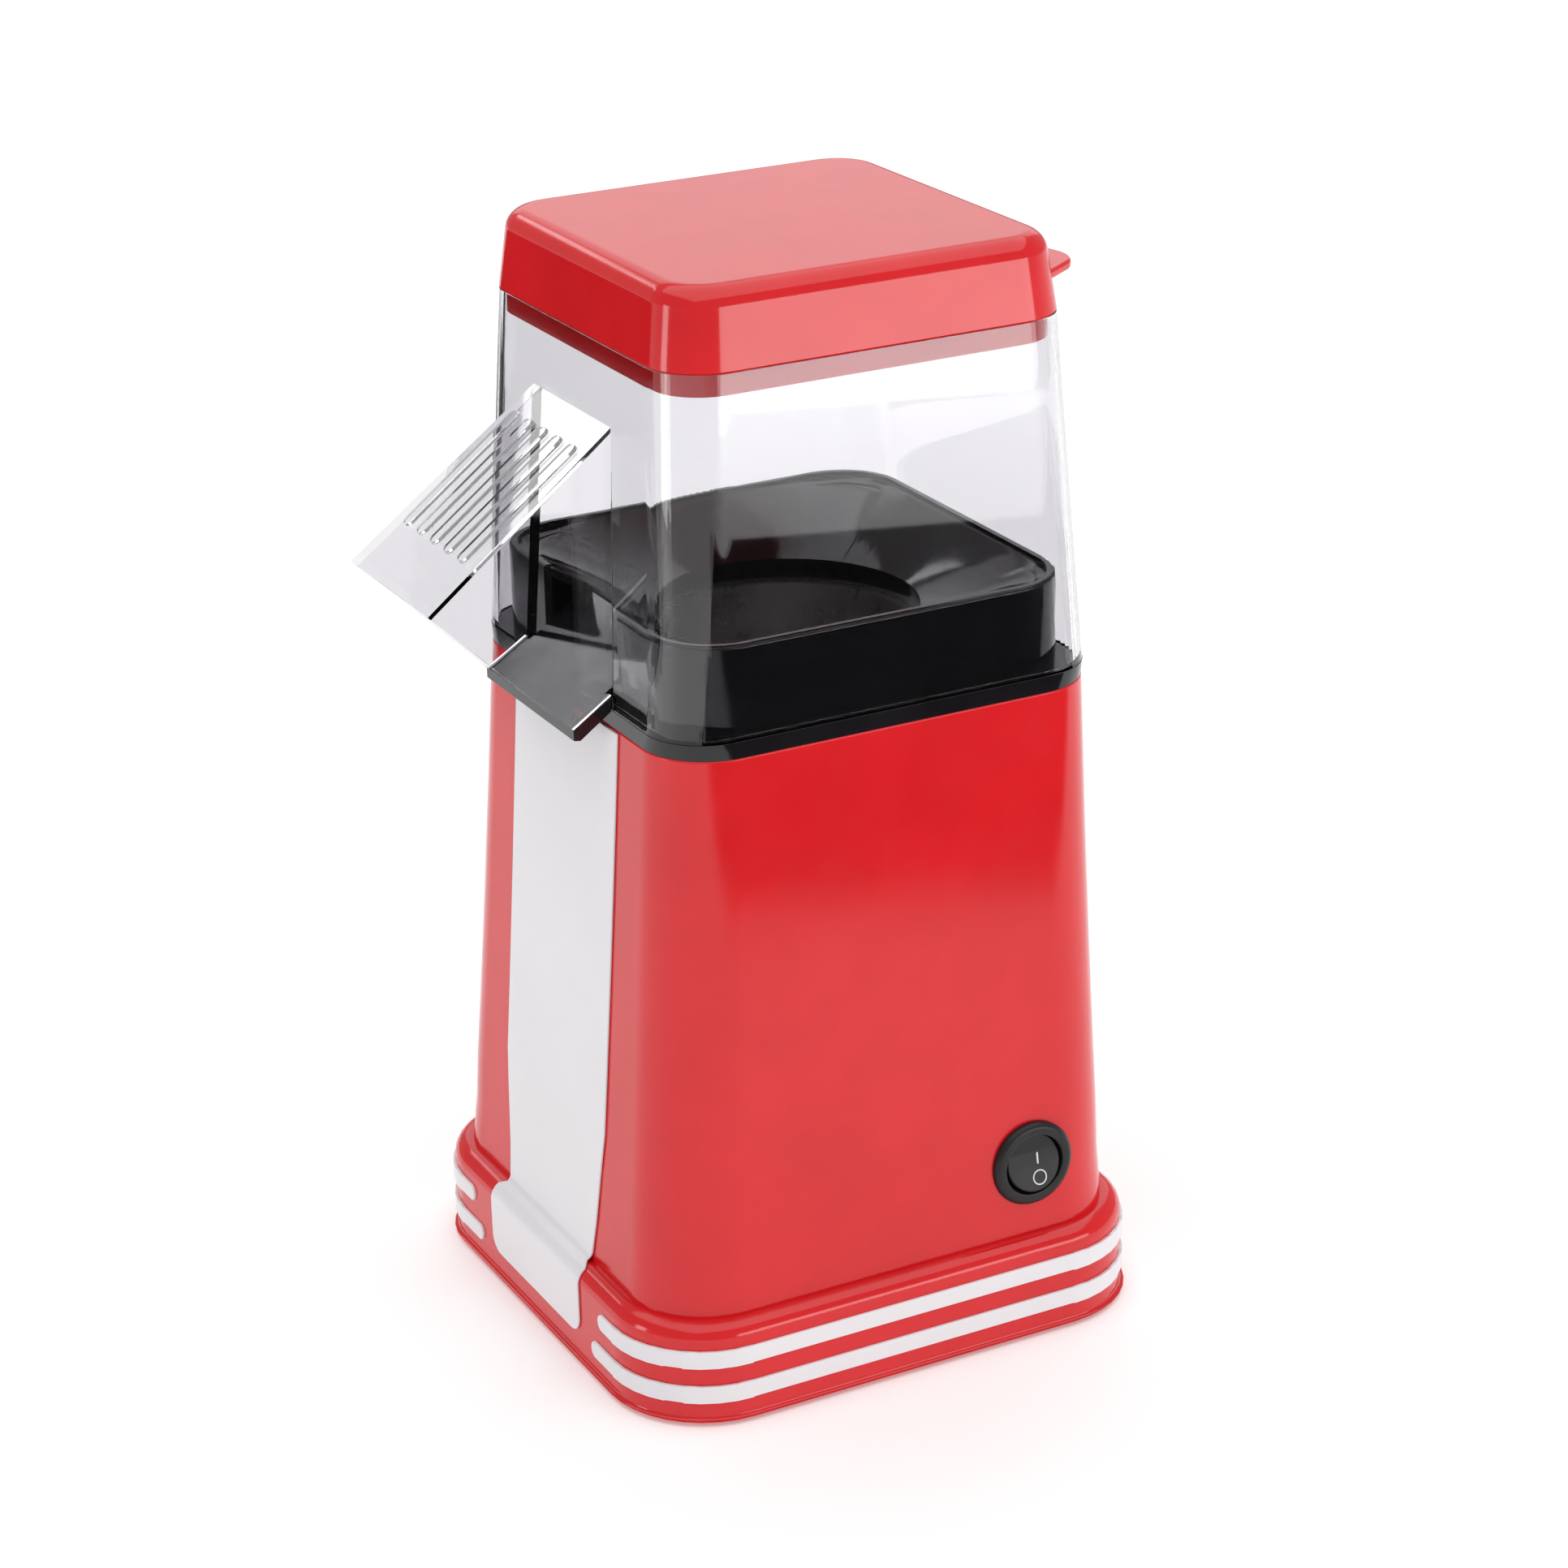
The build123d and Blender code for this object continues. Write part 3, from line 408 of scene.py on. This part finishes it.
# front strip
stripLook = {"thick": 0.65, "topHalf": 30.0, "lowHalf": 25.8, "narrowZ": 66.0,
             "footHalf": 27.5, "footRound": 6.5, "fold": 3.0, "soft": 0.22}
stripLo, stripHi = boxMm("front_strip")


def bodyFront(z):
    u = (z - deckZ) / (bodyTop - deckZ)
    half, _, _, y = bodySection(u)
    return y - half


def makeStrip(s):
    out = s["thick"]
    path = []  # (y, z, half width)
    for k in range(9):
        z = stripHi.z - (stripHi.z - s["narrowZ"]) * k / 8
        path.append((bodyFront(z) - out, z, s["topHalf"]))
    foldZ = deckZ + s["fold"]
    for k in range(1, 5):
        z = s["narrowZ"] + (foldZ - s["narrowZ"]) * k / 4
        w = s["topHalf"] + (s["lowHalf"] - s["topHalf"]) * k / 4
        path.append((bodyFront(z) - out, z, w))
    yb = path[-1][0]
    r = s["fold"] - out
    for k in range(1, 5):
        a = math.radians(62 * k / 4)
        path.append((yb - r + r * math.cos(a), foldZ - r * math.sin(a), s["lowHalf"] - 0.15 * k))
    edge = plinthLook["edge"]
    ey, ez = baseY - baseHalf + edge, deckZ - edge
    for k in range(0, 8):
        a = math.radians(122 + 58 * k / 7)
        path.append((ey + (edge + out) * math.cos(a), ez + (edge + out) * math.sin(a), s["footHalf"]))
    for k in range(1, 4):
        path.append((baseY - baseHalf - out, ez + (stripLo.z - ez) * k / 3, s["footHalf"]))
    bm = bmesh.new()
    y, z, w = path[0]
    row = [bm.verts.new((-w, y, z)), bm.verts.new((w, y, z))]
    bar = bm.edges.new(row)
    for y, z, w in path[1:]:
        grown = bmesh.ops.extrude_edge_only(bm, edges=[bar])["geom"]
        ends = [g for g in grown if isinstance(g, bmesh.types.BMVert)]
        bar = [g for g in grown if isinstance(g, bmesh.types.BMEdge)][0]
        for v in ends:
            v.co = (math.copysign(w, v.co.x), y, z)
    last = list(bar.verts)
    roundCorners(bm, last, s["footRound"], 7)
    bmesh.ops.recalc_face_normals(bm, faces=bm.faces[:])
    if sum(f.normal.y * f.calc_area() for f in bm.faces) > 0:
        bmesh.ops.reverse_faces(bm, faces=bm.faces[:])
    bmesh.ops.solidify(bm, geom=bm.faces[:], thickness=s["thick"] - 0.03)
    return finishPiece(bm, "frontStrip", "whiteGloss", "machine", ["front_strip"], sharp=50, bevel=(s["soft"], 2, 60))


makeStrip(stripLook)
print("stage: front strip")


# pieces shaped from merged copies of their solids
def mergedCopy(node, name, material, body, bevel, sharp=30):
    bm = bmesh.new()
    bm.from_mesh(nodes[node].data)
    bmesh.ops.scale(bm, vec=(1 / mm, 1 / mm, 1 / mm), verts=bm.verts[:])
    bmesh.ops.remove_doubles(bm, verts=bm.verts[:], dist=2e-3)
    bmesh.ops.dissolve_limit(bm, angle_limit=math.radians(0.4), use_dissolve_boundaries=False, verts=bm.verts[:], edges=bm.edges[:])
    return finishPiece(bm, name, material, body, [node], sharp=sharp, bevel=bevel)


mergedCopy("funnel_tray", "funnelAndTray", "blackGloss", "machine", (0.45, 2, 68))
mergedCopy("hood", "clearHood", "clearPlastic", "hood", (0.35, 2, 50))
print("stage: funnel and hood")

# lift-off cap
capLook = {"lowCorner": 15, "topHalf": 53.0, "topCorner": 13.5, "round": 4.8, "wall": 2.0, "skirt": 1.6, "hoodWall": 2.4, "skirtDepth": 6.0}
capLo, capHi = boxMm("lid_cap")
hoodLo, hoodHi = boxMm("hood")
capLowHalf = capHi.x


def makeCap(c):
    bm = bmesh.new()
    zLow, zTop, w = hoodHi.z, capHi.z, c["wall"]
    inSkirt = capLowHalf - c["hoodWall"]
    sections = [(c["topHalf"] - w, c["topCorner"] - w, zTop - w, 0), (capLowHalf - w - 2.0, c["lowCorner"] - w - 2.0, zLow + 1.6, 0),
                (inSkirt - c["skirt"], c["lowCorner"] - c["hoodWall"] - c["skirt"], zLow, 0),
                (inSkirt - c["skirt"], c["lowCorner"] - c["hoodWall"] - c["skirt"], zLow - c["skirtDepth"], 0),
                (inSkirt, c["lowCorner"] - c["hoodWall"], zLow - c["skirtDepth"], 0), (inSkirt, c["lowCorner"] - c["hoodWall"], zLow, 0),
                (capLowHalf - 0.3, c["lowCorner"] - 0.3, zLow, 0), (capLowHalf, c["lowCorner"], zLow + 0.4, 0),
                (c["topHalf"], c["topCorner"], zTop, 0)]
    lofted(bm, sections)
    softenEdges(bm, edgesAt(bm, flatRing(zTop)), c["round"], 10)
    return finishPiece(bm, "cap", "redGloss", "cap", ["lid_cap"], sharp=40)


makeCap(capLook)

tabLook = {"drop": 10.0, "thick": 2.6, "reach": 9.7, "soft": 0.9}


def makeTab(t):
    z = capHi.z - t["drop"]
    edge = capLowHalf - (z - hoodHi.z) * (capLowHalf - capLook["topHalf"]) / (capHi.z - hoodHi.z)
    r = t["reach"]
    outline = [(edge - 30.5, edge - 1.5), (edge - 30, edge + r * 0.75), (edge - 18.7, edge + r),
               (edge - 12.5, edge + r * 0.8), (edge - 5, edge - 3.2), (edge - 9, edge - 5)]
    bm = bmesh.new()
    verts = [bm.verts.new((x, y, z)) for x, y in outline]
    face = bm.faces.new(verts)
    roundCorners(bm, verts[1:4], 2.4, 5)
    top = bm.faces[:]
    grown = bmesh.ops.extrude_face_region(bm, geom=top)["geom"]
    bmesh.ops.translate(bm, vec=(0, 0, -t["thick"]), verts=[g for g in grown if isinstance(g, bmesh.types.BMVert)])
    bmesh.ops.recalc_face_normals(bm, faces=bm.faces[:])
    rim = [e for e in bm.edges if abs(e.verts[0].co.z - e.verts[1].co.z) < 0.01]
    softenEdges(bm, rim, t["soft"], 4)
    return finishPiece(bm, "capTab", "redGloss", "cap", sharp=40)


makeTab(tabLook)
print("stage: cap")

# switch
switchLook = {"opening": 8.4, "bezelHeight": 2.2, "recess": 1.5, "barrel": 10.0, "rockerR": 7.8,
              "crease": 3.0, "tilt": 9.0, "markR": 1.75, "markThick": 0.32}
faceX = housingHi.x - switchLook["bezelHeight"]
pivot = Vector(next(j for j in frame["joints"] if j["name"] == "rocker_tilt")["pos_m"]) / mm


def spunX(profile, centre, steps=72):
    # profile of (radius, x) spun round the X axis through centre
    bm = bmesh.new()
    verts = [bm.verts.new((x, 0, r)) for r, x in profile]
    edges = [bm.edges.new((verts[k], verts[(k + 1) % len(verts)])) for k in range(len(verts))]
    bmesh.ops.spin(bm, geom=verts + edges, cent=(0, 0, 0), axis=(1, 0, 0), angle=2 * math.pi, steps=steps, use_merge=True)
    bmesh.ops.remove_doubles(bm, verts=bm.verts[:], dist=1e-4)
    bmesh.ops.translate(bm, vec=centre, verts=bm.verts[:])
    return bm


def makeBezel(s):
    h, r, o = s["bezelHeight"], switchR, s["opening"]
    profile = [(r, 0.05), (r, h * 0.42), (r - 0.35, h * 0.72), (r - 1.0, h * 0.93), (r - 1.7, h),
               (o + 0.55, h), (o + 0.12, h - 0.18), (o, h - 0.6), (o, -7.0),
               (s["barrel"], -7.0), (s["barrel"], 0.05)]
    bm = spunX(profile, (faceX, switchY, switchZ))
    return finishPiece(bm, "switchBezel", "blackSatin", "machine", ["switch_housing"], sharp=50)


makeBezel(switchLook)


def rockerPlace():
    return Matrix.Translation(pivot) @ Matrix.Rotation(math.radians(-switchLook["tilt"]), 4, "Y") @ Matrix.Translation(-pivot)


def makeRocker(s):
    bm = bmesh.new()
    r, crease = s["rockerR"], s["crease"]
    bmesh.ops.create_circle(bm, cap_ends=True, segments=72, radius=r)
    bmesh.ops.rotate(bm, matrix=Matrix.Rotation(math.radians(90), 3, "Y"), verts=bm.verts[:])
    bmesh.ops.bisect_plane(bm, geom=bm.verts[:] + bm.edges[:] + bm.faces[:], plane_co=(0, 0, crease), plane_no=(0, 0, 1))
    front = bm.faces[:]
    grown = bmesh.ops.extrude_face_region(bm, geom=front)["geom"]
    ends = [g for g in grown if isinstance(g, bmesh.types.BMVert)]
    bmesh.ops.translate(bm, vec=(-5.0, 0, 0), verts=ends)
    for v in bm.verts:
        if v not in ends:
            v.co.x += 0.5 + (0.16 * (v.co.z - crease) if v.co.z > crease else 0.10 * (crease - v.co.z))
    bmesh.ops.recalc_face_normals(bm, faces=bm.faces[:])
    bm.normal_update()
    rim = [e for e in bm.edges if len(e.link_faces) == 2 and e.calc_face_angle() > math.radians(50) and all(v.co.x > -1 for v in e.verts)]
    softenEdges(bm, rim, 0.45, 3)
    bmesh.ops.translate(bm, vec=(faceX + s["bezelHeight"] - s["recess"], switchY, switchZ), verts=bm.verts[:])
    bmesh.ops.transform(bm, matrix=rockerPlace(), verts=bm.verts[:])
    return finishPiece(bm, "rocker", "blackSatin", "rocker", ["switch_rocker"], sharp=28)


makeRocker(switchLook)


def rockerFaceX(z):
    c = switchLook["crease"]
    return faceX + switchLook["bezelHeight"] - switchLook["recess"] + 0.5 + (0.16 * (z - c) if z > c else 0.10 * (c - z))


def makeMarks(s):
    # generic on and off marks, slightly raised
    t = s["markThick"]
    dy = 1.2
    bm = bmesh.new()
    bmesh.ops.create_cube(bm, size=1)
    bmesh.ops.scale(bm, vec=(0.3, t * 1.6, 3.3), verts=bm.verts[:])
    softenEdges(bm, bm.edges[:], 0.1, 2)
    z = 0.9
    bmesh.ops.translate(bm, vec=(rockerFaceX(z), switchY + dy, switchZ + z), verts=bm.verts[:])
    bmesh.ops.transform(bm, matrix=rockerPlace(), verts=bm.verts[:])
    finishPiece(bm, "onMark", "markInk", "rocker", sharp=40)
    z = -4.2
    r = s["markR"]
    bm = spunX([(r + t, -0.1), (r + t, 0.12), (r, 0.12), (r, -0.1)], (0, 0, 0), 40)
    bmesh.ops.rotate(bm, matrix=Matrix.Rotation(-math.atan(0.10), 3, "Y"), verts=bm.verts[:])
    bmesh.ops.translate(bm, vec=(rockerFaceX(z), switchY + dy, switchZ + z), verts=bm.verts[:])
    bmesh.ops.transform(bm, matrix=rockerPlace(), verts=bm.verts[:])
    finishPiece(bm, "offMark", "markInk", "rocker", sharp=40)


makeMarks(switchLook)
print("stage: switch")

# finishes of the carried-over solids
slotFinish = {
    "red_gloss": "redGloss", "white_gloss": "whiteGloss", "black_gloss": "blackGloss", "black_satin": "blackSatin",
    "clear": "clearPlastic", "rubber": "rubber", "steel": "steel", "brass": "brass", "aluminium": "spunAluminium",
    "mica": "mica", "heater": "heaterWire", "ceramic": "ceramic", "board": "board", "wheel": "wheelPlastic",
}
for part in frame["record"]["subparts"]:
    ob = nodes[part["node"]]
    ob.data.materials.clear()
    ob.data.materials.append(materials[slotFinish[part["material_slot"]]])
print("stage: solids finished")

# studio
studioLook = {
    "world": 0.38, "floor": (0.9, 0.9, 0.9), "floorGlow": 0.22,
    # softboxes: centre, size, radiance, point they face
    "boxes": {
        "overhead": ((0.0, 0.3, 3.0), (5.0, 5.0), 1.22, (0, 0.3, 0)),
        "backLeft": ((-2.0, 1.05, 1.25), (2.2, 1.3), 0.72, (0, 0, 0.29)),
        "leftHigh": ((-1.7, -0.44, 1.17), (0.8, 0.11), 3.2, (0, -0.06, 0.18)),
        "lowRight": ((1.25, 0.62, 0.17), (1.1, 0.34), 4.2, (0.05, 0, 0.26)),
        "frontBar": ((-0.15, -1.2, 0.2), (0.26, 0.4), 4.5, (0.05, -0.05, 0.25)),
    },
    # painted dark reflections: dark cards lying on the floor, seen only in glossy surfaces: near and far distance,
    # direction, half width
    "cards": {"cardRight": (0.43, 1.05, 26.5, 0.75), "cardLeft": (0.62, 3.2, 210.5, 0.6)},
}


def makeStudio(s):
    world = bpy.data.worlds.new("studio")
    bpy.context.scene.world = world
    world.use_nodes = True
    world.node_tree.nodes["Background"].inputs["Color"].default_value = (1, 1, 1, 1)
    world.node_tree.nodes["Background"].inputs["Strength"].default_value = s["world"]
    bm = bmesh.new()
    bmesh.ops.create_grid(bm, x_segments=1, y_segments=1, size=6)
    mesh = bpy.data.meshes.new("floor")
    bm.to_mesh(mesh)
    bm.free()
    floor = bpy.data.objects.new("floor", mesh)
    bpy.context.scene.collection.objects.link(floor)
    pale, _, shader, _ = newMaterial("paleFloor")
    shader.inputs["Base Color"].default_value = (*s["floor"], 1)
    shader.inputs["Roughness"].default_value = 0.9
    shader.inputs["Emission Color"].default_value = (1, 1, 1, 1)
    shader.inputs["Emission Strength"].default_value = s["floorGlow"]
    mesh.materials.append(pale)

    def softbox(name, place, size, radiance, target):
        light = bpy.data.lights.new(name, "AREA")
        light.shape, light.size, light.size_y = "RECTANGLE", size[0], size[1]
        light.energy = radiance * math.pi * size[0] * size[1]
        ob = bpy.data.objects.new(name, light)
        bpy.context.scene.collection.objects.link(ob)
        direction = Vector(target) - Vector(place)
        ob.matrix_world = Matrix.Translation(place) @ direction.to_track_quat("-Z", "Y").to_matrix().to_4x4()

    for name, values in s["boxes"].items():
        softbox(name, *values)

    # painted dark reflection: these cards are hidden from camera, diffuse light and shadows, and only darken what
    # glossy surfaces reflect
    dark, _, shader, _ = newMaterial("paintedReflectionCard")
    shader.inputs["Base Color"].default_value = (0.02, 0.02, 0.02, 1)
    shader.inputs["Roughness"].default_value = 0.9
    shader.inputs["Specular IOR Level"].default_value = 0
    for name, (near, far, angle, half) in s["cards"].items():
        bm = bmesh.new()
        d = Vector((math.cos(math.radians(angle)), math.sin(math.radians(angle)), 0))
        side = Vector((-d.y, d.x, 0))
        corners = ((near, -half), (far, -half), (far, half), (near, half))
        bm.faces.new([bm.verts.new(d * r + side * w + Vector((0, 0, 0.001))) for r, w in corners])
        mesh = bpy.data.meshes.new(name)
        bm.to_mesh(mesh)
        bm.free()
        card = bpy.data.objects.new(name, mesh)
        bpy.context.scene.collection.objects.link(card)
        mesh.materials.append(dark)
        card.visible_camera = card.visible_diffuse = card.visible_shadow = False


makeStudio(studioLook)
print("stage: studio")
